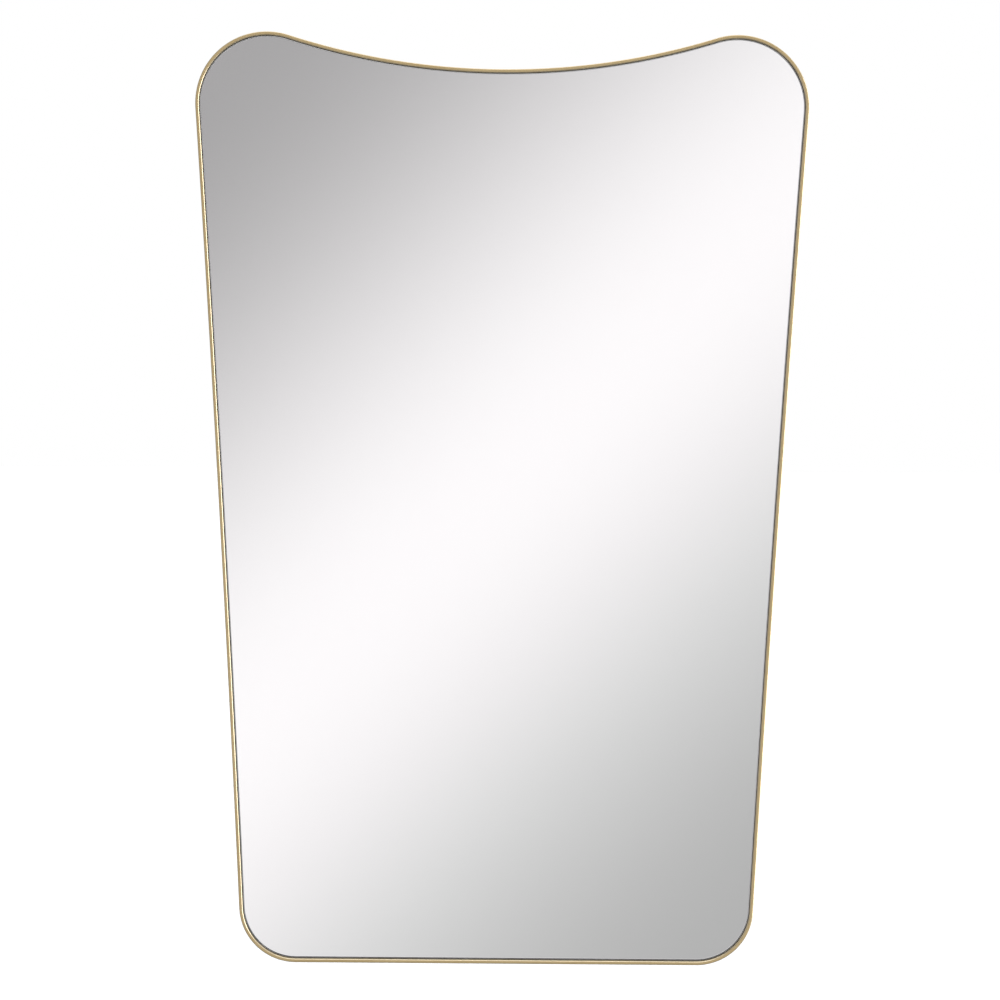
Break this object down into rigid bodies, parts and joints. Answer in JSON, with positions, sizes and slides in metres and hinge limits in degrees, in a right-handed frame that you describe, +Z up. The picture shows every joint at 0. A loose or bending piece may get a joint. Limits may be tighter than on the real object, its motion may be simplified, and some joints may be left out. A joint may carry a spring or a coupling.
{
  "type": "wall mirror",
  "caption": "Wall mirror in a slim brass band: rounded shoulders wider than its base, a dipping top edge and a flat bottom edge, hung on folding rings.",
  "frame": {"origin": "on the wall plane, midway between the two wall hooks that the hanger rings bear on when the mirror hangs", "axes": "+Y from the room into the wall, so the glass faces -Y; +Z up; +X to the right of someone facing the mirror"},
  "size_m": [0.6, 0.0265, 0.914],
  "materials": {
    "brass_band": "satin",
    "silvered_glass": "polished",
    "black_board": "matte",
    "foam_tape": "matte",
    "brass_lug": "satin",
    "zinc_screw": "satin",
    "nickel_hanger": "satin",
    "nickel_ring": "gloss",
    "rubber_bumper": "matte"
  },
  "bodies": {
    "mirror": {"frame_band": "brass_band", "mirror_glass": "silvered_glass", "backing_board": "black_board", "mounting_tape_1": "foam_tape", "mounting_tape_2": "foam_tape", "mounting_tape_3": "foam_tape", "mounting_tape_4": "foam_tape", "mounting_tape_5": "foam_tape", "frame_lug_1": "brass_lug", "frame_lug_2": "brass_lug", "frame_lug_3": "brass_lug", "frame_lug_4": "brass_lug", "frame_lug_5": "brass_lug", "frame_lug_6": "brass_lug", "frame_lug_7": "brass_lug", "frame_lug_8": "brass_lug", "frame_lug_9": "brass_lug", "frame_lug_10": "brass_lug", "lug_screw_1": "zinc_screw", "lug_screw_2": "zinc_screw", "lug_screw_3": "zinc_screw", "lug_screw_4": "zinc_screw", "lug_screw_5": "zinc_screw", "lug_screw_6": "zinc_screw", "lug_screw_7": "zinc_screw", "lug_screw_8": "zinc_screw", "lug_screw_9": "zinc_screw", "lug_screw_10": "zinc_screw", "hanger_screw_left_upper": "zinc_screw", "hanger_screw_left_lower": "zinc_screw", "hanger_screw_right_upper": "zinc_screw", "hanger_screw_right_lower": "zinc_screw", "hanger_strap_left": "nickel_hanger", "hanger_strap_right": "nickel_hanger", "wall_bumper_lower_left": "rubber_bumper", "wall_bumper_lower_right": "rubber_bumper", "wall_bumper_upper_left": "rubber_bumper", "wall_bumper_upper_right": "rubber_bumper"},
    "ring_left": {"hanger_ring_left": "nickel_ring"},
    "ring_right": {"hanger_ring_right": "nickel_ring"}
  },
  "joints": [
    {"name": "ring_left_fold", "type": "hinge", "parent": "mirror", "child": "ring_left", "pos_m": [-0.203, -0.00588, -0.015], "axis": [1, 0, 0], "range_deg": [0, 176]},
    {"name": "ring_right_fold", "type": "hinge", "parent": "mirror", "child": "ring_right", "pos_m": [0.203, -0.00588, -0.015], "axis": [1, 0, 0], "range_deg": [0, 176]}
  ]
}
